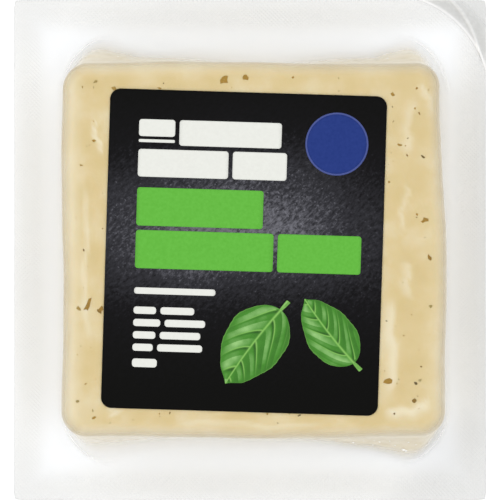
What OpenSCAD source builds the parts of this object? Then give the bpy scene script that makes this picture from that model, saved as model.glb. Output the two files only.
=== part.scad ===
// Block of herb halloumi sealed in a flat-backed vacuum pack.
// The pack lies on its white back web, label up. +Y points to the head of the
// label, +Z up, and the origin is at the middle of the underside.

/* [Block] */
// Width of the cheese block
block_w = 90; // [75:1:110]
// Length of the cheese block, along the label
block_l = 88; // [75:1:110]
// Height of the cheese block
block_h = 24; // [16:1:34]
// Radius of the block's upright corners
block_corner_r = 6; // [5:0.5:9]
// Radius round the block's top edge
block_edge_r = 3.5; // [2:0.1:4.5]
// How far the block lies off the middle of the pack, to the right
block_shift_x = 1; // [-2:0.1:2]

/* [Film] */
// Thickness of the clear formed film
film_t = 0.15; // [0.1:0.05:0.4]
// How far the film's foot stands off the block at its two sides
foot_side = 2.7; // [1.5:0.1:5]
// How far the film's foot stands off the block at the corners of its ends
foot_end = 9.1; // [7:0.1:12]
// How far the foot is drawn back in along the middle of the ends
foot_waist = 4.6; // [0:0.1:6.5]
// Radius of the foot's corners
foot_corner_r = 17; // [10:0.5:20]
// How far the foot lies off the middle of the pack, to the right
foot_shift_x = 1.4; // [-1:0.1:2]

/* [Pack] */
// Width of the sealed margin at the two sides
seal_side = 8.85; // [6:0.05:14]
// Width of the sealed margin at the two ends
seal_end = 6.85; // [5:0.05:12]
// Radius of the pack's trimmed corners
pack_corner_r = 1; // [0.5:0.1:4]
// Thickness of the white back web
web_t = 0.3; // [0.2:0.05:0.8]

/* [Label] */
// Bare width of the block beside the label
label_margin_x = 12.5; // [10:0.5:25]
// Bare length of the block beyond the label
label_margin_y = 6.5; // [5.4:0.1:20]
// Radius of the label's corners
label_corner_r = 2.5; // [1:0.1:6]
// Thickness of the label
label_t = 0.1; // [0.08:0.01:0.2]
// How far the label lies to the left of the pack's middle
label_left = 1.4; // [0:0.1:2]
// How far the label lies below the pack's middle
label_down = 0.5; // [0:0.1:2]
// How far the label was stuck on askew, clockwise, in degrees
label_turn = 1.75; // [0:0.05:2.5]

/* [Film shape] */
// Share of the foot's half width over which the waist is full
waist_full = 0.5; // [0.1:0.01:0.6]
// Share of the foot's half width at which the waist has run out
waist_end = 0.78; // [0.7:0.01:0.95]
// How steeply the film falls against the block's flat sides, as a power
wall_power = 5; // [2:0.5:8]
// How steeply it falls where it tents across a corner, 1 being straight
tent_power = 1.7; // [1.2:0.1:3]

/* [Detail] */
// Steps round each corner
arc_steps = 8; // [4:1:12]
// Steps along each side
side_steps = 14; // [8:1:20]
// Steps up the film's wall
wall_steps = 12; // [6:1:16]
// Steps round the block's top edge
edge_steps = 5; // [3:1:8]

/* [Hidden] */

// The film's outer face as it lies on the block
skin_w = block_w + 2 * film_t;
skin_l = block_l + 2 * film_t;

// The outline in which the film meets the sealed margin
foot_w = skin_w + 2 * foot_side;
foot_l = skin_l + 2 * foot_end;
pack_w = foot_w + 2 * seal_side;
pack_l = foot_l + 2 * seal_end;

label_w = block_w - 2 * label_margin_x;
label_l = block_l - 2 * label_margin_y;

// Heights of the film's outer face: on the margin, at the shoulder, on top
margin_z = web_t + film_t;
top_z = margin_z + block_h;
shoulder_z = top_z - block_edge_r;

function blend(a, b, t) = a + (b - a) * t;
function smooth(t) = let (s = min(max(t, 0), 1)) s * s * (3 - 2 * s);

// A rounded rectangle as one ring of points. Every ring has the same count, in
// the same order, so any two of them can be blended or joined with faces.
function ring(w, l, r) =
    let (c = [w / 2 - r, l / 2 - r],
         centres = [c, [-c.x, c.y], -c, [c.x, -c.y]],
         on_arc = function (k, i)
             let (a = 90 * (k + i / arc_steps))
             centres[k % 4] + r * [cos(a), sin(a)])
    [for (k = [0:3]) each concat(
        [for (i = [0:arc_steps]) on_arc(k, i)],
        [for (i = [1:side_steps - 1])
            blend(on_arc(k, arc_steps), on_arc(k + 1, 0), i / side_steps)])];

function sum_along(points, axis) = [for (p = points) p[axis]] * [for (p = points) 1];
function moved(points, x) = [for (p = points) p + [x, 0]];
function lifted(points, z) = [for (p = points) [p.x, p.y, z]];

// The foot's ends are drawn in along their middle
function waisted(points) =
    [for (p = points)
        let (span = abs(p.x) / (foot_w / 2),
             full = 1 - smooth((span - waist_full) / (waist_end - waist_full)),
             end = smooth((abs(p.y) - block_l / 4) / (block_l / 4)))
        [p.x, p.y - sign(p.y) * foot_waist * full * end]];

pack_ring = ring(pack_w, pack_l, pack_corner_r);
foot_ring = moved(waisted(ring(foot_w, foot_l, foot_corner_r)), foot_shift_x);
skin_ring = moved(ring(skin_w, skin_l, block_corner_r + film_t), block_shift_x);

// The power by which the film falls at point i: against a flat side it drops
// steeply, and the further its foot stands off, the straighter it tents
function fall_power(i) =
    blend(wall_power, tent_power, smooth(norm(foot_ring[i] - skin_ring[i]) / foot_end));

// The film's wall at height share h, from the foot at 0 to the shoulder at 1
function wall_ring(h) =
    [for (i = [0:len(skin_ring) - 1])
        let (p = blend(skin_ring[i], foot_ring[i], pow(1 - h, fall_power(i))))
        [p.x, p.y, blend(margin_z, shoulder_z, h)]];

// The rounded top edge at angle a, from the shoulder at 0 to the flat top at 90
function edge_ring(a) =
    let (inset = block_edge_r * (1 - cos(a)))
    lifted(moved(ring(skin_w - 2 * inset, skin_l - 2 * inset, block_corner_r + film_t - inset),
                 block_shift_x),
           shoulder_z + block_edge_r * sin(a));

// A closed solid through rings of points, from the lowest to the highest. Each
// end ring is flat and is closed with a fan round its middle.
module loft(rings) {
    n = len(rings[0]);
    last = len(rings) - 1;
    middle = function (points) [for (axis = [0:2]) sum_along(points, axis) / n];
    below = n * len(rings);
    above = below + 1;
    polyhedron(
        points = concat([for (r = rings) each r], [middle(rings[0]), middle(rings[last])]),
        faces = [
            for (i = [0:n - 1])
                let (next = (i + 1) % n)
                each concat(
                    [[below, i, next]],
                    [for (j = [0:last - 1])
                        let (a = j * n + i, b = j * n + next)
                        each [[a, a + n, b], [b, a + n, b + n]]],
                    [[above, last * n + next, last * n + i]])]);
}

module rounded_sheet(w, l, r, t) {
    linear_extrude(t) {
        square([w - 2 * r, l], center = true);
        square([w, l - 2 * r], center = true);
        for (x = [-1, 1], y = [-1, 1])
            translate([x * (w / 2 - r), y * (l / 2 - r)])
                circle(r, $fn = 48);
    }
}

// The stiff white sheet that backs the whole pack
module back_web() {
    color("whitesmoke")
        rounded_sheet(pack_w, pack_l, pack_corner_r, web_t);
}

// The cheese out to the clear film's outer face, with the film's sealed margin
module wrapped_block() {
    color([0.88, 0.81, 0.64])
        loft(concat(
            [lifted(pack_ring, web_t), lifted(pack_ring, margin_z)],
            [for (j = [0:wall_steps]) wall_ring(pow(j / wall_steps, 1.5))],
            [for (j = [1:edge_steps]) edge_ring(90 * j / edge_steps)]));
}

// The dark label, stuck flat on top of the film
module label() {
    color([0.12, 0.12, 0.12])
        translate([-label_left, -label_down, top_z])
            rotate(-label_turn)
                rounded_sheet(label_w, label_l, label_corner_r, label_t);
}

back_web();
wrapped_block();
label();
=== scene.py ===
"""A block of herb halloumi in its vacuum pack: the looks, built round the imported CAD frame.

The pack lies on its back web, label up. +X runs to the right of the label, +Y to its head
and +Z up out of it. Lengths are in metres. Every new piece is a surface worked out with
numpy as a function of two parameters: turn, which walks once round the pack from 0 to 4,
and a second one that climbs from the outside to the middle.
"""

import bpy
import numpy as np
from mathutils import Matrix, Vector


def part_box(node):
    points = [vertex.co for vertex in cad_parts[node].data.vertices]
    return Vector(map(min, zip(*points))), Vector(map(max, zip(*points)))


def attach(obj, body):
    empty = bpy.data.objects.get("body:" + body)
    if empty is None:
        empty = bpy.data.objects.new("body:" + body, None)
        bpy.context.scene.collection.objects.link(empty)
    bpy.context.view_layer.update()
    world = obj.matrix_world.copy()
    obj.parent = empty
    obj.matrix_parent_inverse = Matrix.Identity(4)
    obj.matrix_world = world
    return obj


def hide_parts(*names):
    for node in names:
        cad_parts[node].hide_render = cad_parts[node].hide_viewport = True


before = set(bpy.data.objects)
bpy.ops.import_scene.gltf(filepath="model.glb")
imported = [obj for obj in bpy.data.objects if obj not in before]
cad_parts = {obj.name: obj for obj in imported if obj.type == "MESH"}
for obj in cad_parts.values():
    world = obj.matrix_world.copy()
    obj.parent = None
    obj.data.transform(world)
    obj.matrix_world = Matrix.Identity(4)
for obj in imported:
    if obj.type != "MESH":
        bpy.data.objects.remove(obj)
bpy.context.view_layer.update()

MM = 0.001
rng = np.random.default_rng(11)

# ---------------------------------------------------------------- sizes from the frame

web_high = np.array(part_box("back_web")[1])
wrap_high = np.array(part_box("wrapped_block")[1])
label_low, label_high = (np.array(corner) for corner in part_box("label"))

FILM_T = 0.15 * MM
SEAL = np.array([8.85, 6.85]) * MM  # the sealed margin beside and beyond the film's foot
FOOT_GAP = np.array([2.7, 9.1]) * MM  # from the block to the foot, at its sides and ends
FOOT_R = 17 * MM
FOOT_SHIFT = 1.4 * MM
WAIST = 4.6 * MM  # how far the foot is drawn back in along the middle of the ends
WAIST_SPAN = (0.5, 0.78)  # shares of the foot's half width where that is full and is over
BLOCK_SHIFT = 1.0 * MM
BLOCK_R = 6 * MM
EDGE_R = 3.2 * MM
WALL_POWER = 5
TENT_POWER = 1.7
FOOT_FILLET = 1.5  # above 1, so that the film leaves the margin by a hollow, not a crease

PACK_HALF = web_high[:2]
WEB_T = web_high[2]
MARGIN_Z = WEB_T + FILM_T
TOP_Z = wrap_high[2]
SHOULDER_Z = TOP_Z - EDGE_R
FOOT_HALF = PACK_HALF - SEAL
SKIN_HALF = FOOT_HALF - FOOT_GAP
CHEESE_HALF = SKIN_HALF - FILM_T

LABEL_HALF = np.array([32.5, 37.5]) * MM
LABEL_R = 2.5 * MM
LABEL_MIDDLE = (label_low[:2] + label_high[:2]) / 2
LABEL_TURN = np.radians(-1.75)
LABEL_T = label_high[2] - label_low[2]

# ---------------------------------------------------------------- shape helpers

EDGE_POWER = 70  # high, so that the trimmed edge turns its corners sharply
ARC_SHARE = 0.4  # share of each whole turn that goes round a corner
CORNER_X = np.array([1, -1, -1, 1])
CORNER_Y = np.array([1, 1, -1, -1])


def smooth(t):
    """The smooth step 3t^2 - 2t^3 of t held between 0 and 1."""
    t = np.clip(t, 0, 1)
    return t * t * (3 - 2 * t)


def bell(t):
    """A bell curve of height 1 and width 1: exp(-t^2)."""
    return np.exp(-t * t)


def outline(turn, half_x, half_y, radius):
    """A rounded rectangle walked counter-clockwise as turn goes from 0 to 4.

    Each whole turn k first goes round a corner, centre + radius (cos a, sin a) with a from
    90k to 90k + 90 degrees, then along the straight side to the next corner.
    """
    k = np.floor(turn).astype(int)
    t = turn - k
    a = np.pi / 2 * (k + np.clip(t / ARC_SHARE, 0, 1))
    side = np.clip((t - ARC_SHARE) / (1 - ARC_SHARE), 0, 1)
    here, there = k % 4, (k + 1) % 4
    sign_x = CORNER_X[here] + (CORNER_X[there] - CORNER_X[here]) * side
    sign_y = CORNER_Y[here] + (CORNER_Y[there] - CORNER_Y[here]) * side
    x = sign_x * (half_x - radius) + radius * np.cos(a)
    y = sign_y * (half_y - radius) + radius * np.sin(a)
    return x, y


def foot_outline(turn):
    """The line where the film leaves the sealed margin: a rounded rectangle whose two ends
    are drawn in by WAIST along their middle, fading out by a smooth step over WAIST_SPAN."""
    x, y = outline(turn, FOOT_HALF[0], FOOT_HALF[1], FOOT_R)
    span = np.abs(x) / FOOT_HALF[0]
    drawn = 1 - smooth((span - WAIST_SPAN[0]) / (WAIST_SPAN[1] - WAIST_SPAN[0]))
    at_end = smooth(2 * np.abs(y) / CHEESE_HALF[1] - 1)
    slack = 1 + 0.10 * np.sin(2.3 * x / (10 * MM) + np.sign(y))
    return x + FOOT_SHIFT, y - np.sign(y) * WAIST * drawn * at_end * slack


def pack_outline(turn):
    """The trimmed edge, a rectangle with small round corners: straight sides between the
    foot's corner centres, and round each corner the place where a ray from that centre at
    the foot's own angle a meets the edge, at 1 / ((cos a / dx)^p + (sin a / dy)^p)^(1/p)."""
    centre = FOOT_HALF - FOOT_R
    x, y = outline(turn, centre[0] + 1e-6, centre[1] + 1e-6, 1e-6)
    k = np.floor(turn).astype(int)
    a = np.pi / 2 * (k + np.clip((turn - k) / ARC_SHARE, 0, 1))
    to_side = np.abs(np.cos(a)) / (PACK_HALF[0] - centre[0])
    to_end = np.abs(np.sin(a)) / (PACK_HALF[1] - centre[1])
    near = np.maximum(to_side, to_end)
    reach = 1 / (near * ((to_side / near) ** EDGE_POWER + (to_end / near) ** EDGE_POWER) ** (1 / EDGE_POWER))
    return x + reach * np.cos(a), y + reach * np.sin(a)


def settled(x, y):
    """The cut block isn't quite square: its right side leans in towards the head, and each
    side waves by a fraction of a millimetre."""
    lean = -1.3 * MM * smooth(x / (40 * MM)) * smooth((y + 10 * MM) / (50 * MM))
    roll_x = 0.25 * np.sin(y / (10 * MM) + 0.6 + np.sign(x)) + 0.05 * np.sin(y / (3.1 * MM))
    roll_y = 0.25 * np.sin(x / (12 * MM) + 1.9 + np.sign(y)) + 0.05 * np.sin(x / (3.4 * MM) + 1)
    wave_x = roll_x * MM * smooth(np.abs(x) / (30 * MM)) * np.sign(x)
    wave_y = roll_y * MM * smooth(np.abs(y) / (30 * MM)) * np.sign(y)
    return x + lean + wave_x, y + wave_y


# Creases in the film where it lies on the block: two ends, how far the middle bows out to
# the left, half width and height, all in millimetres
CREASES = [
    ((-37.0, 32.0), (-34.6, 22.5), 0.8, 0.30, 0.16),
    ((-40.0, 12.0), (-38.5, -24.0), 0.9, 0.90, 0.10),
    ((-41.5, -2.0), (-39.0, 30.0), 0.4, 0.50, 0.05),
    ((35.6, -10.0), (35.2, -36.0), -1.0, 1.40, 0.10),
    ((38.2, 38.0), (36.2, 24.0), 0.6, 0.90, 0.08),
    ((41.0, 40.0), (43.6, 30.0), -0.6, 0.60, 0.12),
    ((37.6, 24.0), (35.4, 4.0), 0.5, 0.60, 0.08),
    ((12.6, 43.0), (9.4, 36.0), 0.3, 0.25, 0.05),
    ((-22.0, -41.6), (18.0, -42.4), 0.5, 0.35, 0.10),
    ((-12.0, 42.2), (26.0, 41.0), -0.5, 0.35, 0.10),
    ((-40.5, -34.0), (-30.0, -42.0), 1.0, 0.70, 0.10),
    ((32.0, -41.0), (43.0, -33.0), -1.0, 0.80, 0.12),
]


def crease_height(x, y):
    """Each crease is a bell-shaped ridge beside a bowed line, fading out at both ends."""
    height = np.zeros(np.broadcast(x, y).shape)
    for (x0, y0), (x1, y1), bow, width, rise in CREASES:
        length = np.hypot(x1 - x0, y1 - y0)
        ux, uy = (x1 - x0) / length, (y1 - y0) / length
        along = ((x / MM - x0) * ux + (y / MM - y0) * uy) / length
        across = (y / MM - y0) * ux - (x / MM - x0) * uy
        bowed = across - 4 * bow * along * (1 - along)
        fade = smooth(along / 0.25) * smooth((1 - along) / 0.25)
        height = height + rise * MM * fade * bell(bowed / width)
    return height


def top_swell(x, y):
    """The block's top is hand-smooth, not flat: three long waves and a few shallow dents."""
    waves = (
        0.10 * np.sin(x / (13 * MM) + 0.7 * np.sin(y / (17 * MM)))
        + 0.09 * np.sin(y / (10 * MM) + 1.3 + 0.9 * np.sin(x / (15 * MM)))
        + 0.04 * np.sin((x + y) / (4.2 * MM)) * np.sin((x - 1.4 * y) / (5.3 * MM))
    )
    return (waves - 0.23) * MM


def top_height(x, y):
    """Height of the film's outer face over the block, before its rounded edge falls away."""
    return TOP_Z + top_swell(x, y) + crease_height(x, y)


def margin_arch(x, y):
    """The trimmed edge of the pack rolls down a little: the margin rises by a smooth step
    over its outer 2 mm and comes down again towards the block."""
    edge = np.minimum(PACK_HALF[0] - np.abs(x), PACK_HALF[1] - np.abs(y))
    return 0.16 * MM * smooth(edge / (2.2 * MM)) * (1 - smooth((edge - 3.5 * MM) / (5 * MM)))


TAB_CREASE = 54.2 * MM  # half the sum of x and y on the tab's crease
SEAL_REACH = 8.3 * MM  # from the foot's corner to the curved end of the seal


def beyond_seal(x, y):
    """How far a point lies past the curved end of the seal at the head's right corner, where
    the film is left loose as a tab to peel by. The seal ends on an arc round the foot's
    corner."""
    centre = FOOT_HALF - FOOT_R + np.array([FOOT_SHIFT, 0])
    past = np.hypot(x - centre[0], y - centre[1]) - (FOOT_R + SEAL_REACH)
    return np.where((x > centre[0]) & (y > centre[1]), past, -FOOT_R)


def tab_crease(x, y):
    """A bell-shaped line folded across the loose tab, with its bow towards the corner."""
    along = (x - y + 12 * MM) / (9 * MM)
    line = (x + y) - (2 * TAB_CREASE - 1.2 * MM * along**2)
    return bell(line / (0.55 * MM)) * (beyond_seal(x, y) > 0)


def tab_lift(x, y):
    """The loose tab rises off the web just past the seal, with one folded crease."""
    return smooth(beyond_seal(x, y) / (5 * MM)) * 0.55 * MM + 0.30 * MM * tab_crease(x, y)


def tab_painted_shade(x, y):
    """Painted shade on the loose tab: a grey share, greyest between the seal's end and the crease and
    lighter, milky, past it.
    """
    past_crease = smooth(((x + y) - 2 * TAB_CREASE) / (4 * MM))
    return smooth((beyond_seal(x, y) - 0.2 * MM) / (0.9 * MM)) * (0.62 - 0.40 * past_crease)


def tab_painted_highlight(x, y):
    """A painted highlight: a bright line where the seal ends and along the crease."""
    arc = bell((beyond_seal(x, y) - 0.2 * MM) / (0.45 * MM))
    return np.clip(0.75 * arc + 0.55 * tab_crease(x, y), 0, 0.9)


# ---------------------------------------------------------------- meshes


def make_object(name, points, quads, triangles=(), fields=None):
    """A mesh object at the origin from points, quads and triangles, smooth shaded, with one
    float attribute for each entry of fields."""
    mesh = bpy.data.meshes.new(name)
    faces = [face for block in (quads, triangles) for face in np.asarray(block).tolist()]
    mesh.from_pydata(points.reshape(-1, 3).tolist(), [], faces)
    mesh.shade_smooth()
    for field, values in (fields or {}).items():
        attribute = mesh.attributes.new(field, "FLOAT", "POINT")
        attribute.data.foreach_set("value", np.asarray(values, dtype=np.float32).ravel())
    made = bpy.data.objects.new(name, mesh)
    bpy.context.scene.collection.objects.link(made)
    return made


def ring_quads(rows, count, first=0):
    """Quads between rings of count points each, numbered ring by ring and closed round."""
    r = np.arange(rows - 1)[:, None] * count + first
    c = np.arange(count)[None, :]
    n = (c + 1) % count
    return np.stack([r + c, r + n, r + count + n, r + count + c], axis=-1).reshape(-1, 4)


def fan(ring_start, count, tip, upward):
    """Triangles from a ring of points to one tip, facing up or down."""
    c = np.arange(count)
    n = (c + 1) % count
    sides = (c, n) if upward else (n, c)
    return np.stack([ring_start + sides[0], ring_start + sides[1], np.full(count, tip)], axis=-1)


def closed_shell(name, x, y, z, fields=None):
    """A closed solid through rings x, y, z of shape (rings, points), lowest ring first. Each
    end ring is closed by a fan to its middle."""
    rows, count = x.shape
    rings = np.stack([x, y, z], axis=-1)
    points = np.concatenate([rings.reshape(-1, 3), [rings[0].mean(axis=0), rings[-1].mean(axis=0)]])
    quads = ring_quads(rows, count)
    low = fan(0, count, rows * count, upward=False)
    high = fan((rows - 1) * count, count, rows * count + 1, upward=True)
    ends = {}
    for field, values in (fields or {}).items():
        ends[field] = np.concatenate([values.ravel(), [values[0].mean(), values[-1].mean()]])
    return make_object(name, points, quads, np.concatenate([low, high]), ends)


# ---------------------------------------------------------------- back web


def back_web():
    """The white sheet. Ring by ring its outline goes under the pack from the middle out to
    the trimmed edge, and back over its top to the middle, a web's thickness higher. Both
    faces follow the margin's arch."""
    turn = np.linspace(0, 4, 400, endpoint=False)[None, :]
    shrink = np.concatenate([[0.3, 0.6, 0.75], np.linspace(0.8, 1, 30) ** 0.8])
    scale = np.concatenate([shrink, shrink[::-1]])[:, None]
    top = np.concatenate([np.zeros(len(shrink)), np.ones(len(shrink))])[:, None]
    x, y = pack_outline(turn)
    x, y = x * scale, y * scale
    z = margin_arch(x, y) + top * WEB_T
    edge = np.minimum(PACK_HALF[0] - np.abs(x), PACK_HALF[1] - np.abs(y))
    # Painted shade: the web is darkened in a strip along its right edge, at its corners, a little along its
    # ends, and most at its lower right corner.
    right = smooth((x - 51 * MM) / (6 * MM))
    corner = smooth((np.abs(x) + np.abs(y) - 92 * MM) / (22 * MM))
    end = smooth((np.abs(y) - 51 * MM) / (6 * MM))
    foot_right = smooth((x - y - 84 * MM) / (18 * MM))
    painted_shades = [0.42 * right, 0.28 * corner, 0.10 * end, 0.50 * foot_right]
    fields = {
        "knurl": 1 - smooth((edge - 5 * MM) / (2.5 * MM)),
        "painted_shade": np.max(np.broadcast_arrays(*painted_shades), axis=0),
        # Painted light: the web is painted brighter towards the block, a little more on the right, so that
        # only its outer 2 mm keep the plain tone.
        "inner": smooth((edge - 2 * MM) / (9 * MM)) * (0.85 + 0.15 * smooth(x / (40 * MM))),
    }
    return closed_shell("white_back_web", x, y, z, fields)


# ---------------------------------------------------------------- film

PLEAT_REACH = 0.6 * MM  # how far a pleat of height 1 stands out
# Pleats where the film gathers at the block's corners: turn, half width in turn, height
PLEATS = [
    (0.43, 0.016, 0.5), (0.47, 0.010, 0.35), (0.30, 0.020, 0.35), (0.20, 0.014, 0.3),
    (0.97, 0.014, 0.5), (0.93, 0.009, 0.4), (1.10, 0.020, 0.35), (1.20, 0.014, 0.3),
    (2.43, 0.014, 0.5), (2.47, 0.009, 0.4), (2.30, 0.018, 0.35), (2.18, 0.014, 0.3),
    (2.97, 0.016, 0.5), (2.92, 0.010, 0.4), (3.10, 0.020, 0.4), (3.22, 0.014, 0.3),
]


def pleats(turn):
    """Bell-shaped ridges that stand out from the film's wall, in metres."""
    return sum(PLEAT_REACH * rise * bell((turn - at) / width) for at, width, rise in PLEATS)


def film_outside(turn, climb):
    """The film's wall from the foot at climb 0 to the shoulder at climb 1, as x, y, z.

    In plan a point lies between the foot and the block's skin, by (1 - climb) to a power:
    high against a flat side, so that the film hugs it, and low where it tents. Its height
    goes by climb to the power FOOT_FILLET.
    """
    foot_x, foot_y = foot_outline(turn)
    skin_x, skin_y = outline(turn, SKIN_HALF[0], SKIN_HALF[1], BLOCK_R + FILM_T)
    skin_x, skin_y = settled(skin_x + BLOCK_SHIFT, skin_y)
    gap = np.hypot(foot_x - skin_x, foot_y - skin_y)
    power = WALL_POWER + (TENT_POWER - WALL_POWER) * smooth(gap / FOOT_GAP[1])
    reach = (1 - climb) ** power
    lines = 0.05 * MM * np.sin(climb * 40) * smooth(climb / 0.1) * smooth((1 - climb) / 0.2)
    push = (pleats(turn) * np.sin(np.pi * climb) ** 2 + lines) / gap
    x = skin_x + (foot_x - skin_x) * (reach + push)
    y = skin_y + (foot_y - skin_y) * (reach + push)
    z = MARGIN_Z + (SHOULDER_Z - MARGIN_Z) * climb**FOOT_FILLET
    return x, y, z + 0 * x


def top_rings(turn, half, radius, edge_radius, drop, edge_steps, top_steps):
    """The rounded top edge and the top, as x, y, z and how far each ring has climbed.

    Round the edge a ring is inset by r (1 - cos a) and raised by r sin a; on the top it
    shrinks towards the middle and follows top_height, drop below it.
    """
    a = np.linspace(0, np.pi / 2, edge_steps + 1)[1:]
    scale = np.concatenate([np.ones(edge_steps), np.linspace(1, 0.02, top_steps + 1)[1:]])[:, None]
    a = np.concatenate([a, np.full(top_steps, np.pi / 2)])[:, None]
    inset = edge_radius * (1 - np.cos(a))
    x, y = outline(turn, half[0] - inset, half[1] - inset, radius - inset)
    x, y = settled(x * scale + BLOCK_SHIFT, y * scale)
    rise = np.sin(a)
    shoulder = TOP_Z - drop - edge_radius
    z = shoulder + (top_height(x, y) - drop - shoulder) * rise
    return x, y, z


# Where whey pools in the tents at the pack's ends: turn, half width in turn, how much more
WHEY_POOLS = [(0.44, 0.16, 1.5), (0.97, 0.17, 1.4), (2.44, 0.16, 0.2), (2.98, 0.20, 2.6)]
WHEY_MOST, WHEY_POOLED = 0.72, 0.84


def whey_cover(turn, height):
    """The share of whey seen behind the film's wall: a smooth step of its height, that ends
    lower down where the whey pools."""
    pooled = sum(more * bell((turn - at) / width) for at, width, more in WHEY_POOLS)
    most = WHEY_MOST + (WHEY_POOLED - WHEY_MOST) * smooth(pooled)
    amount = 1.0 + pooled
    return most * smooth((height / MM - 1.2 / amount) / 17 * amount)


def wall_painted_highlights(turn, climb):
    """Painted highlights: faint bright lines, like creases, that wander along the wall, mostly
    on the right-hand side. Each is a bell of the climb about a sine of the turn, broken up
    by two more sines."""
    lines = 0
    for i, level in enumerate((0.30, 0.52, 0.74)):
        wander = 0.06 * np.sin((2.3 + i) * turn + 2 * i)
        broken = smooth(0.1 + 0.6 * np.sin((11 + 7 * i) * turn + i) + 0.4 * np.sin((29 + 5 * i) * turn))
        lines = lines + broken * bell((climb - level - wander) / 0.02)
    right = smooth((turn - 3.35) / 0.15)
    return 0.16 * right * lines


def foot_painted_highlight(turn, height):
    """A painted highlight: a soft bright line low on the wall, round the four corners of the film's foot."""
    t = np.clip((turn - np.floor(turn)) / ARC_SHARE, 0, 1)
    return 0.38 * np.sin(np.pi * t) * bell((height - 0.8 * MM) / (0.5 * MM))


MARGIN_ROWS, WALL_ROWS, EDGE_ROWS, TOP_ROWS = 56, 48, 12, 32


def clear_film():
    """The clear film, one sheet: over the sealed margin from the trimmed edge to the foot,
    up its wall and over the block to the middle of the top."""
    tab_turns = np.linspace(0, ARC_SHARE, 170, endpoint=False)
    turn = np.concatenate([tab_turns, np.linspace(ARC_SHARE, 4, 440, endpoint=False)])[None, :]
    share = np.linspace(0, 1, MARGIN_ROWS)[:, None]
    pack_x, pack_y = pack_outline(turn)
    foot_x, foot_y = foot_outline(turn)
    margin_x = pack_x + (foot_x - pack_x) * share
    margin_y = pack_y + (foot_y - pack_y) * share
    margin_z = MARGIN_Z + margin_arch(margin_x, margin_y) + tab_lift(margin_x, margin_y)
    climb = np.linspace(0, 1, WALL_ROWS + 1)[1:, None] ** 1.25
    wall = film_outside(turn, climb)
    top = top_rings(turn, SKIN_HALF, BLOCK_R + FILM_T, EDGE_R + FILM_T, 0, EDGE_ROWS, TOP_ROWS)
    x = np.concatenate([margin_x, wall[0], top[0]])
    y = np.concatenate([margin_y, wall[1], top[1]])
    z = np.concatenate([margin_z, wall[2], top[2]])
    edge = np.minimum(PACK_HALF[0] - np.abs(x), PACK_HALF[1] - np.abs(y))
    rows, count = x.shape
    points = np.stack([x, y, z], axis=-1).reshape(-1, 3)
    middle = points[-count:].mean(axis=0)
    off_top = np.linspace(1, 0, EDGE_ROWS) ** 1.6
    over_wall = np.repeat([0.0, 1.0, 0.0], [MARGIN_ROWS, WALL_ROWS, EDGE_ROWS + TOP_ROWS])
    on_edge = np.zeros(len(over_wall))
    on_edge[MARGIN_ROWS + WALL_ROWS - 12 : MARGIN_ROWS + WALL_ROWS] = np.linspace(0, 1, 12)
    for weight in (over_wall, on_edge):
        weight[MARGIN_ROWS + WALL_ROWS : MARGIN_ROWS + WALL_ROWS + EDGE_ROWS] = off_top
    # Painted milky sheen on the film over the block's rounded edge, stronger towards the lower end and the
    # right side; it shares one attribute with the tab's painted shade.
    edge_sheen_by_side = 0.10 + 0.25 * smooth(-y / PACK_HALF[1]) + 0.25 * smooth(x / PACK_HALF[0])
    painted_shade_and_sheen = np.maximum(tab_painted_shade(x, y), edge_sheen_by_side * on_edge[:, None])
    # Painted highlights: along the tab's seal end and crease, round the foot's corners and in lines on the
    # wall.
    painted_glint = tab_painted_highlight(x, y)
    on_wall = slice(MARGIN_ROWS, MARGIN_ROWS + WALL_ROWS)
    painted_glint[on_wall] = foot_painted_highlight(turn, z[on_wall] - MARGIN_Z) + wall_painted_highlights(turn, climb)
    fields = {
        "knurl": np.append(1 - smooth((edge - 5 * MM) / (2.5 * MM)), 0),
        "painted_shade_and_sheen": np.append(painted_shade_and_sheen, 0),
        "painted_glint": np.append(painted_glint, 0),
        "whey": np.append(whey_cover(turn, z - MARGIN_Z) * over_wall[:, None], 0),
    }
    return make_object(
        "clear_film",
        np.concatenate([points, [middle]]),
        ring_quads(rows, count),
        fan((rows - 1) * count, count, rows * count, upward=True),
        fields,
    )


# Air bubbles caught in the whey by the film: turn, climb up the wall and radius in mm
BUBBLES = [
    (2.900, 0.34, 0.34), (2.950, 0.44, 0.30), (2.985, 0.40, 0.26), (3.022, 0.33, 0.46),
    (3.035, 0.32, 0.40), (2.935, 0.50, 0.25), (2.965, 0.55, 0.22), (2.915, 0.47, 0.20),
    (3.000, 0.55, 0.25), (3.060, 0.50, 0.22), (2.880, 0.55, 0.18), (2.945, 0.30, 0.18),
    (0.975, 0.45, 0.20), (0.940, 0.52, 0.16), (2.450, 0.50, 0.20), (0.430, 0.48, 0.24),
]


def bubbles():
    """Little closed spheres just behind the film: rings cos(e) wide and sin(e) high, e
    going from pole to pole."""
    places = np.array(BUBBLES)
    x, y, z = (line.ravel() for line in film_outside(places[:, 0], places[:, 1]))
    radius = places[:, 2] * MM
    e = np.linspace(-np.pi / 2, np.pi / 2, 10)[1:-1][:, None]
    a = np.linspace(0, 2 * np.pi, 14, endpoint=False)[None, :]
    unit = np.stack([np.cos(e) * np.cos(a), np.cos(e) * np.sin(a), np.sin(e) + 0 * a], axis=-1)
    unit = np.concatenate([unit.reshape(-1, 3), [[0, 0, -1], [0, 0, 1]]])
    middle = np.stack([x - 0.5 * radius * np.sign(x), y - 0.5 * radius * np.sign(y), z], axis=-1)
    points = middle[:, None, :] + unit[None] * radius[:, None, None]
    one = np.concatenate([fan(0, 14, 112, upward=False), fan(98, 14, 113, upward=True)])
    starts = (np.arange(len(places)) * len(unit))[:, None, None]
    quads = (ring_quads(8, 14)[None] + starts).reshape(-1, 4)
    return make_object("whey_bubbles", points, quads, (one[None] + starts).reshape(-1, 3))


# ---------------------------------------------------------------- cheese

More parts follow.
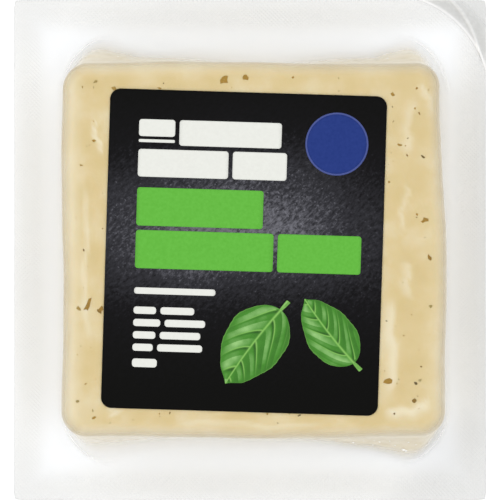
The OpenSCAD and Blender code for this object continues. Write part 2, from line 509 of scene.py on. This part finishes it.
# Painted sheen: paler streaks that stand for the film's gloss where it stands a hair off
# the cheese: two ends, half width and how pale, in millimetres
PAINTED_SHEEN_STREAKS = [
    ((33.6, -10.0), (33.4, -36.0), 1.9, 0.7),
    ((36.6, -2.0), (37.6, -12.0), 1.5, 0.5),
    ((38.0, 36.0), (37.0, 22.0), 1.7, 0.5),
    ((40.5, 40.0), (43.6, 31.0), 1.2, 0.6),
    ((31.0, -39.0), (43.5, -35.5), 2.0, 0.8),
    ((37.0, 16.0), (35.6, 4.0), 0.8, 0.5),
    ((-36.6, 31.0), (-35.0, 22.0), 0.7, 0.8),
    ((-43.2, 28.0), (-43.0, -30.0), 1.2, 0.55),
    ((-38.8, 18.0), (-38.0, -24.0), 1.0, 0.5),
    ((-33.0, -36.0), (-30.5, -38.5), 1.4, 0.7),
    ((-20.0, -40.6), (20.0, -41.0), 1.2, 0.45),
]


def painted_sheen_streaks(x, y):
    """Painted sheen: each streak is a band along a line, soft on one side and sharper on the other."""
    pale = np.zeros(np.broadcast(x, y).shape)
    for (x0, y0), (x1, y1), width, strength in PAINTED_SHEEN_STREAKS:
        length = np.hypot(x1 - x0, y1 - y0)
        ux, uy = (x1 - x0) / length, (y1 - y0) / length
        along = ((x / MM - x0) * ux + (y / MM - y0) * uy) / length
        across = (y / MM - y0) * ux - (x / MM - x0) * uy
        wander = 0.5 * np.sin(along * 9 + x0) + 0.25 * np.sin(along * 23 + y0)
        fade = smooth(along / 0.2) * smooth((1 - along) / 0.2)
        from_line = (across - wander) / width
        band = np.where(from_line > 0, bell(2.4 * from_line), bell(from_line))
        pale = np.maximum(pale, strength * fade * band)
    return pale


def painted_rim_highlight(x, y):
    """A painted highlight, paler in a soft band along the cheese's rounded edge and most of all
    on the left: a smooth step over the last 6 mm before its sides and the last 4 mm before its ends."""
    to_side = np.abs(x - BLOCK_SHIFT) - CHEESE_HALF[0]
    to_end = np.abs(y) - CHEESE_HALF[1]
    near = smooth(1 + np.maximum(to_side / (6 * MM), to_end / (4 * MM)))
    return near * (0.34 + 0.32 * smooth(-x / (30 * MM)) + 0.08 * np.sin(y / (6 * MM)))


def cheese_wall(turn, climb):
    """The block's cut side from its bottom edge at climb 0 to the shoulder at climb 1: it
    slumps out a little towards the bottom and waves gently."""
    slump = 0.35 * MM * (1 - climb) ** 3
    wave = 0.06 * MM * np.sin(turn * 31 + 3 * climb) * np.sin(climb * 7 + turn * 5)
    under = 1.2 * MM * (1 - np.sqrt(1 - (1 - np.clip(climb / 0.06, 0, 1)) ** 2))
    grow = slump + wave - under
    half_x, half_y = CHEESE_HALF[0] + grow, CHEESE_HALF[1] + grow
    x, y = outline(turn, half_x, half_y, BLOCK_R)
    x, y = settled(x + BLOCK_SHIFT, y)
    low = WEB_T + 0.03 * MM
    return x, y, low + (SHOULDER_Z - FILM_T - low) * climb + 0 * x


def cheese_block():
    """The cheese: a flat underside, cut sides, a rounded top edge and the top."""
    turn = np.linspace(0, 4, 480, endpoint=False)[None, :]
    climb = (np.linspace(0, 1, 34) ** 1.4)[:, None]
    wall = cheese_wall(turn, climb)
    top = top_rings(turn, CHEESE_HALF, BLOCK_R, EDGE_R, FILM_T, 12, 60)
    under = np.array([0.02, 0.4, 0.8])[:, None]
    x = np.concatenate([wall[0][:1] * under, wall[0], top[0]])
    y = np.concatenate([wall[1][:1] * under, wall[1], top[1]])
    z = np.concatenate([wall[2][:1] + 0 * under, wall[2], top[2]])
    fine = 0.03 * MM * np.sin(x / (1.1 * MM) + 2 * np.sin(y / (2.3 * MM))) * np.sin(y / (1.3 * MM))
    on_top = smooth((z - SHOULDER_Z) / EDGE_R)
    # Painted sheen streaks on the top and a painted highlight along the rounded edge.
    pale = np.maximum(painted_sheen_streaks(x, y) * on_top, painted_rim_highlight(x, y) * smooth(2 * on_top))
    return closed_shell("cheese_block", x, y, z + (fine - 0.02 * MM) * on_top, {"pale": pale})


# The few flecks that stand out on the top: where, length, width and turn, in millimetres
# and degrees
NOTABLE_FLECKS = [
    (-6, 40, 2.4, 2.1, 45),
    (-1, 40.5, 1.4, 1.2, 40),
    (-38, -13, 3.0, 1.1, 65),
    (-35, -14, 1.8, 1.0, 80),
    (41, 7, 1.5, 1.1, 20),
]
MEDIUM_ON_TOP = 46  # spread evenly round the top's bare rim
MEDIUM_BAND = 9 * MM  # how far in from the rounded edge they lie
SMALL_ON_TOP = 60
SMALL_ON_WALLS = 240


def off_label(places, room):
    """True for each place that lies more than room outside the label."""
    return (np.abs(places - LABEL_MIDDLE) > LABEL_HALF + room).any(axis=1)


def medium_places():
    """Places for medium flecks: even steps of turn round the block, each shifted at random
    by up to 0.45 of a step and set in from the edge by a random part of the band."""
    steps = np.arange(MEDIUM_ON_TOP) + 0.5 + rng.uniform(-0.45, 0.45, MEDIUM_ON_TOP)
    inset = EDGE_R + rng.uniform(0, 1, MEDIUM_ON_TOP) * MEDIUM_BAND
    x, y = outline(steps * 4 / MEDIUM_ON_TOP, CHEESE_HALF[0] - inset, CHEESE_HALF[1] - inset, BLOCK_R)
    places = np.stack([x + BLOCK_SHIFT, y], axis=-1)
    return places[off_label(places, 0.5 * MM)]


def fleck_places():
    """Middle, two flat directions, outward direction, length and width of every fleck: the
    notable, medium and small ones on the top, then the small ones on the walls."""
    notable = np.array(NOTABLE_FLECKS)
    medium = medium_places()
    rim = rng.uniform(-1, 1, (SMALL_ON_TOP * 3, 2)) * (CHEESE_HALF - EDGE_R)
    rim = rim[off_label(rim, 0)][:SMALL_ON_TOP]
    x, y = np.concatenate([notable[:, :2] * MM, medium, rim]).T
    strewn = np.concatenate([rng.lognormal(-0.2, 0.33, len(medium)), rng.lognormal(-1.05, 0.4, len(rim))])
    slim = rng.uniform(0.4, 0.9, len(strewn))
    length = np.concatenate([notable[:, 2], strewn])
    width = np.concatenate([notable[:, 3], strewn * slim])
    spin = np.concatenate([np.radians(notable[:, 4]), rng.uniform(0, np.pi, len(strewn))])
    middle = np.stack([x, y, top_height(x, y) - FILM_T], axis=-1)
    flat = np.stack([np.cos(spin), np.sin(spin), 0 * spin], axis=-1)
    out = np.tile([0.0, 0.0, 1.0], (len(x), 1))

    turn = rng.uniform(0, 4, SMALL_ON_WALLS)
    climb = rng.uniform(0.08, 0.98, SMALL_ON_WALLS)
    step = 0.002
    here = np.stack(cheese_wall(turn, climb), axis=-1)
    ahead = np.stack(cheese_wall(turn + step, climb), axis=-1) - here
    above = np.stack(cheese_wall(turn, climb + step), axis=-1) - here
    ahead /= np.linalg.norm(ahead, axis=1, keepdims=True)
    normal = np.cross(ahead, above)
    normal /= np.linalg.norm(normal, axis=1, keepdims=True)
    spin = rng.uniform(0, np.pi, (SMALL_ON_WALLS, 1))
    tilted = ahead * np.cos(spin) + np.cross(normal, ahead) * np.sin(spin)
    wall_length = rng.lognormal(-0.75, 0.5, SMALL_ON_WALLS)
    wall_width = wall_length * rng.uniform(0.4, 0.9, SMALL_ON_WALLS)
    return (
        np.concatenate([middle, here]),
        np.concatenate([flat, tilted]),
        np.concatenate([out, normal]),
        np.concatenate([length, wall_length]) * MM,
        np.concatenate([width, wall_width]) * MM,
    )


def herb_flecks():
    """Torn flakes of dried herb, half sunk in the cheese. Each is a thin closed flake: a
    ring of eight points with uneven radii between a middle just above and one just below."""
    middle, ahead, out, length, width = fleck_places()
    count, sides = len(middle), 8
    a = np.linspace(0, 2 * np.pi, sides, endpoint=False)[None, :]
    radius = 0.5 * (1 + 0.42 * rng.uniform(-1, 1, (count, sides)))
    beside = np.cross(out, ahead)
    along = (radius * np.cos(a) * length[:, None])[..., None] * ahead[:, None, :]
    across = (radius * np.sin(a) * width[:, None])[..., None] * beside[:, None, :]
    ring = middle[:, None, :] + along + across
    thick = np.minimum(0.045 * MM, width * 0.1)[:, None]
    rim = ring + out[:, None, :] * 0.015 * MM
    above = (middle + out * thick)[:, None, :]
    below = (middle - out * 0.12 * MM)[:, None, :]
    points = np.concatenate([rim, above, below], axis=1)
    base = np.arange(count)[:, None] * (sides + 2)
    c = np.arange(sides)[None, :]
    n = (c + 1) % sides
    over = np.stack([base + c, base + n, base + sides + 0 * c], axis=-1).reshape(-1, 3)
    under = np.stack([base + n, base + c, base + sides + 1 + 0 * c], axis=-1).reshape(-1, 3)
    tone = rng.uniform(0, 1, (count, 1)) + np.zeros((1, sides + 2))
    tone[: len(NOTABLE_FLECKS)] = 0.25 + 0.3 * tone[: len(NOTABLE_FLECKS)]
    flakes = make_object("herb_flecks", points, np.concatenate([over, under]), fields={"tone": tone})
    flakes.data.shade_flat()
    return flakes


# ---------------------------------------------------------------- label and print


def on_label(across, up, lift):
    """A place on the label, from its own middle, as x, y, z in the frame: turned with the
    label and laid on the film's height."""
    x = LABEL_MIDDLE[0] + across * np.cos(LABEL_TURN) - up * np.sin(LABEL_TURN)
    y = LABEL_MIDDLE[1] + across * np.sin(LABEL_TURN) + up * np.cos(LABEL_TURN)
    return x, y, top_height(x, y) + lift


def label_plate(name, middle, half, radius, lift, thickness, points=120, inner=12):
    """A thin closed plate on the label: its rounded outline from the middle out under it,
    up over its rim and back to the middle on top."""
    turn = np.linspace(0, 4, points, endpoint=False)[None, :]
    shrink = np.linspace(0.05, 1, inner)
    scale = np.concatenate([shrink, shrink[::-1]])[:, None]
    high = np.concatenate([np.zeros(inner), np.full(inner, thickness)])[:, None]
    x, y = outline(turn, half[0], half[1], radius)
    x, y, z = on_label(middle[0] + x * scale, middle[1] + y * scale, lift + high)
    return closed_shell(name, x, y, z)


PRINT_LIFT = LABEL_T - 0.01 * MM
PRINT_T = 0.03 * MM
PRINT_R = 0.7 * MM

# The print, in millimetres. Its first row opens with a short field over a thin rule.
PRINT_LEFT = -LABEL_HALF[0] / MM + 7
PRINT_TOP = LABEL_HALF[1] / MM - 7
PRINT_WIDTH = 53
SPLIT_GAP = 1
SHORT_WIDTH, SHORT_HEIGHT, SHORT_RULE = 8.5, 4, 0.7
HEAD_HEIGHT, HEAD_LONG = 6, 24
# The rows below it, from the head down: ink, name, gap above, height, and the width of each
# field side by side, as shares of the print's width
PRINT_ROWS = [
    ("white", "head_second", 1, 6.5, (0.40, 0.24)),
    ("green", "title_short", 2.5, 9, (0.56,)),
    ("green", "title_long", 1, 9, (0.61, 0.37)),
    ("white", "middle_rule", 4.5, 1.5, (0.36,)),
    ("white", "small_line_1", 3, 1.7, (0.10, 0.15)),
    ("white", "small_line_2", 1.2, 1.7, (0.12, 0.18)),
    ("white", "small_line_3", 1.2, 1.7, (0.10, 0.18)),
    ("white", "small_line_4", 1.2, 1.7, (0.09, 0.20)),
    ("white", "last_line", 1.8, 2, (0.11,)),
]


def print_field(name, left, top, width, height):
    """One plain field of the print, a thin plate given by its top left corner and size."""
    half = np.array([width, height]) / 2
    middle = np.array([left + half[0], top - half[1]]) * MM
    radius = min(PRINT_R, 0.4 * height * MM)
    return label_plate(name, middle, half * MM, radius, PRINT_LIFT, PRINT_T)


def head_row():
    """The first row: the short field, the rule under it and the long field beside them."""
    long_left = PRINT_LEFT + SHORT_WIDTH + SPLIT_GAP
    return [
        print_field("head_short", PRINT_LEFT, PRINT_TOP, SHORT_WIDTH, SHORT_HEIGHT),
        print_field("head_rule", PRINT_LEFT, PRINT_TOP - SHORT_HEIGHT - SHORT_RULE, SHORT_WIDTH, SHORT_RULE),
        print_field("head_long", long_left, PRINT_TOP, HEAD_LONG, HEAD_HEIGHT),
    ]


def print_row(name, top, height, shares):
    """Fields side by side along one row, with a gap between each two."""
    widths = np.array(shares) * PRINT_WIDTH
    lefts = PRINT_LEFT + np.concatenate([[0], np.cumsum(widths + SPLIT_GAP)[:-1]])
    return [
        print_field(f"{name}_{i + 1}", left, top, width, height)
        for i, (left, width) in enumerate(zip(lefts, widths))
    ]


RIBS = 4.3


def leaf(name, tip, length, heading, half_width, bend):
    """A printed leaf carried along its midrib, from the tip at s = 0 to the end of the stalk
    at s = 1, length away in the direction of heading.

    Its half width is sin(pi t^1.3)^0.5, t being the share of the blade, drawn in to a point
    at the tip. Its cross-section is a flat closed lens: across cos(b), up sin(b), b going
    once round. Side veins leave the midrib at even shares and bow towards the tip.
    """
    s = np.linspace(0.004, 0.996, 240)[:, None]
    over = np.arccos(np.linspace(1, -1, 150))
    under = np.linspace(np.pi, 2 * np.pi, 14)[1:-1]
    b = np.concatenate([over, under])[None, :]
    tip, length = np.array(tip) * MM, length * MM
    axis = np.array([np.cos(np.radians(heading)), np.sin(np.radians(heading))])
    blade = np.clip(s / 0.885, 0, 1)
    side = np.cos(b)
    ripple = 1 + 0.02 * np.sin(s * 21 + bend + side) + 0.006 * np.sin(s * 90 + 2 * side)
    shape = np.sin(np.pi * blade**1.3) ** 0.5 * smooth(0.35 + 5 * blade) * ripple
    stalk = (0.22 + 0.3 * smooth((s - 0.8) / 0.2)) * MM * (s > 0.86)
    half = np.maximum(half_width * MM * shape * (blade < 1), stalk)
    half = half * smooth((1 - s) / 0.006)
    bow = bend * MM * 4 * s * (1 - s)
    across = side * half + bow
    along = s * length
    x = tip[0] + axis[0] * along - axis[1] * across
    y = tip[1] + axis[1] * along + axis[0] * across
    x, y, z = on_label(x, y, PRINT_LIFT + 0.02 * MM * (1 + np.sin(b)))
    reach = np.abs(side) * shape
    hand = np.sign(side)
    uneven = 0.10 * np.sin(9 * s + 2 * hand) + 0.22 * hand
    rib_phase = RIBS * (s + 0.48 * reach**1.45) + uneven
    past_rib = rib_phase - np.round(rib_phase)
    fading = 1 - 0.9 * smooth((np.abs(side) - 0.3) / 0.65)
    side_vein = bell(past_rib / 0.042) * fading * (s < 0.86)
    midrib = 0.8 * bell(side * half / ((0.14 + 0.14 * s) * MM))
    rim = 0.35 * smooth((np.abs(side) - 0.95) / 0.05) * (s < 0.88)
    vein = np.clip(np.maximum(np.maximum(0.75 * side_vein, midrib), rim), 0, 1)
    vein = np.where(s > 0.885, 0.45, vein + 0 * side)
    lit = smooth(0.5 + (past_rib * hand * np.sign(bend)) * 1.5)
    dome = bell((np.abs(side) - 0.45) / 0.42)
    groove = bell((past_rib + 0.09) / 0.10) * (np.abs(side) > 0.02)
    half_lit = 0.5 + 0.5 * np.tanh(3 * side * np.sign(bend))
    shade = 0.17 + 0.30 * lit * dome + 0.22 * half_lit * dome - 0.34 * groove * fading
    shade = np.clip(shade + 0.12 * rim + 0 * x, 0, 1)
    order = slice(None, None, -1)
    return closed_shell(
        name, x[:, order], y[:, order], z[:, order],
        {"vein": vein[:, order], "shade": shade[:, order]},
    )


# ---------------------------------------------------------------- materials


def new_material(name):
    made = bpy.data.materials.new(name)
    made.use_nodes = True
    made.node_tree.nodes.clear()
    return made, made.node_tree


def node(tree, kind, settings=None, **inputs):
    """A node of one kind. settings are its own properties. Each input is a socket to link
    from, or the value that is set on the input itself."""
    made = tree.nodes.new(kind)
    for key, value in (settings or {}).items():
        setattr(made, key, value)
    for key, value in inputs.items():
        place = made.inputs[int(key[1:])] if key[1:].isdigit() else made.inputs[key.replace("_", " ")]
        if isinstance(value, bpy.types.NodeSocket):
            tree.links.new(value, place)
        else:
            place.default_value = value
    return made


def sums(tree, operation, first, second=0.0):
    """One step of arithmetic on two sockets or numbers."""
    return node(tree, "ShaderNodeMath", {"operation": operation}, i0=first, i1=second).outputs[0]


def plus(tree, first, second):
    return sums(tree, "ADD", first, second)


def times(tree, first, second):
    return sums(tree, "MULTIPLY", first, second)


def noise(tree, place, scale, detail=3.0, roughness=0.5):
    return node(
        tree, "ShaderNodeTexNoise", Vector=place, Scale=scale, Detail=detail, Roughness=roughness
    ).outputs["Fac"]


def ramp(tree, value, stops):
    """A colour ramp through stops of (place, colour)."""
    made = node(tree, "ShaderNodeValToRGB", Fac=value)
    band = made.color_ramp
    while len(band.elements) < len(stops):
        band.elements.new(0.5)
    for element, (place, colour) in zip(band.elements, stops):
        element.position = place
        element.color = (*colour, 1)
    return made.outputs["Color"]


def mixed(tree, share, first, second):
    """A colour between first and second. Each may be a socket or a plain colour."""
    made = node(tree, "ShaderNodeMix", {"data_type": "RGBA"})
    for place, value in ((0, share), (6, first), (7, second)):
        if isinstance(value, bpy.types.NodeSocket):
            tree.links.new(value, made.inputs[place])
        else:
            made.inputs[place].default_value = value if place == 0 else (*value, 1)
    return made.outputs[2]


def field(tree, name):
    return node(tree, "ShaderNodeAttribute", {"attribute_name": name}).outputs["Fac"]


def position(tree):
    return node(tree, "ShaderNodeTexCoord").outputs["Object"]


def stretched(tree, place, turn, scale):
    """A pattern's coordinates turned in the plane by turn degrees, then scaled by axis."""
    turned = node(
        tree, "ShaderNodeMapping", {"vector_type": "POINT"},
        Vector=place, Rotation=(0, 0, float(np.radians(turn))),
    ).outputs[0]
    return node(tree, "ShaderNodeMapping", {"vector_type": "POINT"}, Vector=turned, Scale=scale).outputs[0]


def bumped(tree, height, distance, strength=1.0):
    return node(
        tree, "ShaderNodeBump", Height=height, Distance=distance, Strength=strength
    ).outputs["Normal"]


def show(tree, shader):
    out = tree.nodes.new("ShaderNodeOutputMaterial")
    tree.links.new(shader, out.inputs["Surface"])


KNURL_PITCH = 0.95 * MM


def knurl(tree):
    """The sealing die's fine crosshatch: the lower of |sin k(x + y)| and |sin k(x - y)|,
    within the knurl attribute's band."""
    axes = node(tree, "ShaderNodeSeparateXYZ", Vector=position(tree))
    k = float(np.pi / KNURL_PITCH)
    ways = []
    for operation in ("ADD", "SUBTRACT"):
        way = sums(tree, operation, axes.outputs[0], axes.outputs[1])
        ways.append(sums(tree, "ABSOLUTE", sums(tree, "SINE", times(tree, way, k))))
    return times(tree, sums(tree, "MINIMUM", *ways), field(tree, "knurl"))


def white_web_material():
    made, tree = new_material("white_web")
    place = position(tree)
    tone = ramp(tree, noise(tree, place, 35), [(0.3, (0.712, 0.716, 0.720)), (0.7, (0.732, 0.736, 0.740))])
    # Painted light: brighter towards the block.
    tone = mixed(tree, field(tree, "inner"), tone, (0.815, 0.835, 0.872))
    # Painted shade: darker along the right edge, at the corners and ends, and most at the lower right
    # corner.
    tone = mixed(tree, field(tree, "painted_shade"), tone, (0.520, 0.522, 0.525))
    shader = node(
        tree, "ShaderNodeBsdfPrincipled", Base_Color=tone, Roughness=0.45,
        Specular_IOR_Level=0.35, Normal=bumped(tree, knurl(tree), 0.055 * MM),
    )
    show(tree, shader.outputs[0])
    return made


def film_material():
    """Clear glossy film: see-through, with gloss that grows as the fourth power of how far
    it turns away, painted grey shade on the loose tab and painted milky sheen over the block's
    edge, the whey behind it, and painted highlights by the tab, round the foot and on the wall."""
    made, tree = new_material("film_clear")
    place = position(tree)
    wrinkle = noise(tree, place, 260, 2.0)
    height = plus(tree, times(tree, knurl(tree), 0.5), times(tree, wrinkle, 0.35))
    normal = bumped(tree, height, 0.06 * MM)
    clear = node(tree, "ShaderNodeBsdfTransparent", Color=(0.995, 0.995, 0.99, 1)).outputs[0]
    gloss = node(
        tree, "ShaderNodeBsdfPrincipled", Base_Color=(1, 1, 1, 1), Metallic=1.0,
        Roughness=0.2, Normal=normal,
    ).outputs[0]
    away = node(tree, "ShaderNodeLayerWeight", Blend=0.5, Normal=normal).outputs["Facing"]
    share = plus(tree, times(tree, sums(tree, "POWER", away, 4.0), 0.55), 0.018)
    sheet = node(tree, "ShaderNodeMixShader", i0=share, i1=clear, i2=gloss).outputs[0]
    # Diffuse layers, each mixed in by its attribute: painted grey shade and milky sheen, the whey's own
    # beige, and painted highlights.
    layers = [
        ("painted_shade_and_sheen", (0.52, 0.525, 0.515), (0.60, 0.605, 0.595), 1200),
        ("whey", (0.565, 0.490, 0.340), (0.625, 0.565, 0.435), 240),
        ("painted_glint", (0.78, 0.78, 0.78), (0.82, 0.82, 0.82), 600),
    ]
    for name, low, high, scale in layers:
        tone = ramp(tree, noise(tree, place, scale, 3.0), [(0.3, low), (0.7, high)])
        layer = node(
            tree, "ShaderNodeBsdfPrincipled", Base_Color=tone, Roughness=0.3, Specular_IOR_Level=0.3
        ).outputs[0]
        sheet = node(tree, "ShaderNodeMixShader", i0=field(tree, name), i1=sheet, i2=layer).outputs[0]
    show(tree, sheet)
    return made


def cheese_material():
    """Pale yellow cheese: broad and fine mottling, with painted sheen streaks under the film and a painted
    highlight along its rounded edge.
    """
    made, tree = new_material("cheese_pale_yellow")
    place = position(tree)
    broad = ramp(
        tree, noise(tree, place, 120, 4.0, 0.6),
        [(0.30, (0.516, 0.404, 0.186)), (0.50, (0.550, 0.441, 0.228)), (0.70, (0.592, 0.506, 0.318))],
    )
    fine = noise(tree, place, 420, 3.0, 0.6)
    body = mixed(tree, times(tree, fine, 0.35), broad, (0.515, 0.405, 0.210))
    # Painted sheen and highlight, mixed in by the pale attribute.
    with_painted_sheen = mixed(tree, field(tree, "pale"), body, (0.655, 0.600, 0.450))
    shader = node(
        tree, "ShaderNodeBsdfPrincipled", Base_Color=with_painted_sheen, Roughness=0.5,
        Specular_IOR_Level=0.3, Subsurface_Weight=0.25, Subsurface_Scale=0.002,
        Subsurface_Radius=(1.0, 0.6, 0.3),
        Normal=bumped(tree, noise(tree, place, 900, 2.0), 0.05 * MM, 0.6),
    )
    show(tree, shader.outputs[0])
    return made


def herb_material():
    made, tree = new_material("dried_herb")
    tone = ramp(
        tree, field(tree, "tone"),
        [
            (0.0, (0.080, 0.068, 0.034)), (0.3, (0.270, 0.145, 0.016)),
            (0.65, (0.380, 0.225, 0.034)), (0.85, (0.310, 0.250, 0.090)), (1.0, (0.41, 0.34, 0.16)),
        ],
    )
    patches = times(tree, noise(tree, position(tree), 1800, 2.0), 0.6)
    patchy = mixed(tree, patches, tone, (0.135, 0.080, 0.012))
    shader = node(
        tree, "ShaderNodeBsdfPrincipled", Base_Color=patchy, Roughness=0.7, Specular_IOR_Level=0.1
    )
    show(tree, shader.outputs[0])
    return made


def slate_material():
    """The label's dark ground: printed slate, with fine grains drawn out along a slant, lit by a
    painted sheen across its middle and near black towards its head and foot."""
    made, tree = new_material("label_slate")
    place = position(tree)
    grain = noise(tree, stretched(tree, place, -40, (1, 1.8, 1)), 700, 6.0, 0.75)
    cloud = noise(tree, place, 28, 3.0)
    axes = node(tree, "ShaderNodeSeparateXYZ", Vector=place)
    # Painted sheen: a soft band of light across the label's middle that fades towards its head and foot; the
    # print's grain and specks show mostly within it.
    down = sums(tree, "DIVIDE", sums(tree, "SUBTRACT", axes.outputs[1], 5 * MM), 26 * MM)
    across = sums(tree, "DIVIDE", plus(tree, axes.outputs[0], 8 * MM), 66 * MM)
    spread = plus(tree, times(tree, down, down), times(tree, across, across))
    middle = sums(tree, "DIVIDE", 1.0, plus(tree, spread, 1.0))
    light = times(tree, times(tree, middle, middle), plus(tree, cloud, 0.5))
    specks = sums(tree, "MAXIMUM", sums(tree, "SUBTRACT", noise(tree, place, 1900, 2.0), 0.60), 0.0)
    strength = times(tree, light, plus(tree, grain, times(tree, specks, 1.6)))
    tone = ramp(
        tree, strength,
        [
            (0.05, (0.0040, 0.0040, 0.0037)), (0.18, (0.0068, 0.0066, 0.0074)),
            (0.36, (0.028, 0.028, 0.033)), (0.56, (0.120, 0.120, 0.138)),
        ],
    )
    shader = node(
        tree, "ShaderNodeBsdfPrincipled", Base_Color=tone, Roughness=0.5,
        Specular_IOR_Level=0.02, Normal=bumped(tree, grain, 0.05 * MM, 0.5),
    )
    show(tree, shader.outputs[0])
    return made


def plain_material(name, low, high, scale, roughness, specular):
    """A plain finish that wanders between two tones."""
    made, tree = new_material(name)
    tone = ramp(tree, noise(tree, position(tree), scale), [(0.3, low), (0.7, high)])
    shader = node(
        tree, "ShaderNodeBsdfPrincipled", Base_Color=tone, Roughness=roughness,
        Specular_IOR_Level=specular,
    )
    show(tree, shader.outputs[0])
    return made


def ink_material(name, low, high):
    """A printed ink, slightly uneven."""
    return plain_material(name, low, high, 1500, 0.5, 0.06)


def leaf_material():
    """Printed leaf green, by the shade attribute with patches of sheen, and paler veins."""
    made, tree = new_material("leaf_print")
    sheen = plus(tree, noise(tree, position(tree), 380, 4.0), 0.5)
    blade = ramp(
        tree, times(tree, sheen, field(tree, "shade")),
        [(0.0, (0.007, 0.042, 0.004)), (0.30, (0.042, 0.180, 0.016)), (0.8, (0.290, 0.510, 0.190))],
    )
    patches = times(tree, noise(tree, position(tree), 900, 3.0), 0.5)
    patch = mixed(tree, patches, blade, (0.048, 0.205, 0.020))
    tone = mixed(tree, field(tree, "vein"), patch, (0.215, 0.450, 0.100))
    shader = node(
        tree, "ShaderNodeBsdfPrincipled", Base_Color=tone, Roughness=0.5, Specular_IOR_Level=0.15
    )
    show(tree, shader.outputs[0])
    return made



# ---------------------------------------------------------------- the pieces, put together


def place_piece(piece, material, slot, *nodes):
    """Gives a piece its material and its body, and hides the CAD nodes it stands for. The slot is not used.
    """
    piece.data.materials.append(material)
    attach(piece, "root")
    if nodes:
        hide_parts(*nodes)


place_piece(back_web(), white_web_material(), "white_web", "back_web")
place_piece(cheese_block(), cheese_material(), "cheese_in_film", "wrapped_block")
place_piece(herb_flecks(), herb_material(), "cheese_in_film", "wrapped_block")
# Real air bubbles, drawn as opaque beads whose pale colour is a painted highlight.
bubble_painted_highlight = plain_material("whey_bubble", (0.74, 0.73, 0.69), (0.82, 0.82, 0.80), 900, 0.15, 0.5)
place_piece(bubbles(), bubble_painted_highlight, "cheese_in_film", "wrapped_block")
film = clear_film()
film.visible_shadow = False  # thin clear film lets the light through
place_piece(film, film_material(), "cheese_in_film", "wrapped_block")

sheet = label_plate("label_sheet", (0, 0), LABEL_HALF, LABEL_R, 0, LABEL_T, points=320, inner=30)
place_piece(sheet, slate_material(), "dark_label", "label")

white_ink = ink_material("ink_white", (0.585, 0.590, 0.555), (0.610, 0.618, 0.580))
green_ink = ink_material("ink_green", (0.088, 0.340, 0.036), (0.102, 0.372, 0.045))
blue_ink = ink_material("ink_blue", (0.012, 0.028, 0.150), (0.016, 0.034, 0.170))
rim_ink = ink_material("ink_rim", (0.055, 0.075, 0.23), (0.065, 0.085, 0.25))
for piece in head_row():
    place_piece(piece, white_ink, "dark_label", "label")
inks = {"white": white_ink, "green": green_ink}
row_top = PRINT_TOP - HEAD_HEIGHT
for ink, name, gap, height, shares in PRINT_ROWS:
    row_top -= gap
    for piece in print_row(name, row_top, height, shares):
        place_piece(piece, inks[ink], "dark_label", "label")
    row_top -= height

DISC_MIDDLE = np.array([21, 26]) * MM
for name, radius, rise, ink in (
    ("disc_rim", 7.4 * MM, 0, rim_ink),
    ("disc_field", 7.0 * MM, 0.02 * MM, blue_ink),
):
    disc = label_plate(name, DISC_MIDDLE, (radius, radius), radius * 0.999, PRINT_LIFT + rise, PRINT_T)
    place_piece(disc, ink, "dark_label", "label")

leaf_ink = leaf_material()
leaves = [
    leaf("leaf_left", (-3.5, -31), 24.5, 54, 7.2, 0.6),
    leaf("leaf_right", (14.5, -10.5), 21.5, -50, 5.7, -0.5),
]
for piece in leaves:
    place_piece(piece, leaf_ink, "dark_label", "label")

# ---------------------------------------------------------------- floor, light and camera


def floor():
    """A wide flat square, a hair under the pack."""
    reach = np.linspace(-2, 2, 5)
    x, y = np.meshgrid(reach, reach)
    points = np.stack([x, y, np.full_like(x, -0.1 * MM)], axis=-1)
    r = np.arange(4)[:, None] * 5
    c = np.arange(4)[None, :]
    quads = np.stack([r + c, r + c + 1, r + c + 6, r + c + 5], axis=-1).reshape(-1, 4)
    return make_object("floor", points, quads)


ground = floor()
floor_finish = plain_material("floor_pale", (0.93, 0.93, 0.93), (0.95, 0.95, 0.95), 8, 0.8, 0.1)
ground.data.materials.append(floor_finish)


def softbox(name, place, size, watts):
    """A square softbox that faces the middle of the pack."""
    light = bpy.data.lights.new(name, "AREA")
    light.shape = "SQUARE"
    light.size = size
    light.energy = watts
    lamp = bpy.data.objects.new(name, light)
    lamp.location = place
    lamp.rotation_euler = (-lamp.location).to_track_quat("-Z", "Y").to_euler()
    bpy.context.scene.collection.objects.link(lamp)


softbox("left_softbox", (-0.34, 0.10, 0.56), 0.4, 0.55)
softbox("right_softbox", (0.80, -0.20, 0.70), 0.7, 0.8)
softbox("head_softbox", (0.10, 0.95, 0.80), 0.6, 0.5)
softbox("foot_softbox", (-0.15, -0.95, 0.80), 0.6, 0.8)

world = bpy.data.worlds.new("studio")
world.use_nodes = True
world.node_tree.nodes["Background"].inputs["Color"].default_value = (1, 1, 1, 1)
world.node_tree.nodes["Background"].inputs["Strength"].default_value = 1.22
bpy.context.scene.world = world

CAMERA_HEIGHT = 1.0
camera_data = bpy.data.cameras.new("camera")
camera_data.sensor_width = 36
camera_data.lens = camera_data.sensor_width * (CAMERA_HEIGHT - WEB_T) / (2 * PACK_HALF[1])
camera_data.clip_start = 0.01
camera = bpy.data.objects.new("camera", camera_data)
camera.location = (0, 0, CAMERA_HEIGHT)
bpy.context.scene.collection.objects.link(camera)
bpy.context.scene.camera = camera
bpy.context.scene.view_settings.view_transform = "Standard"
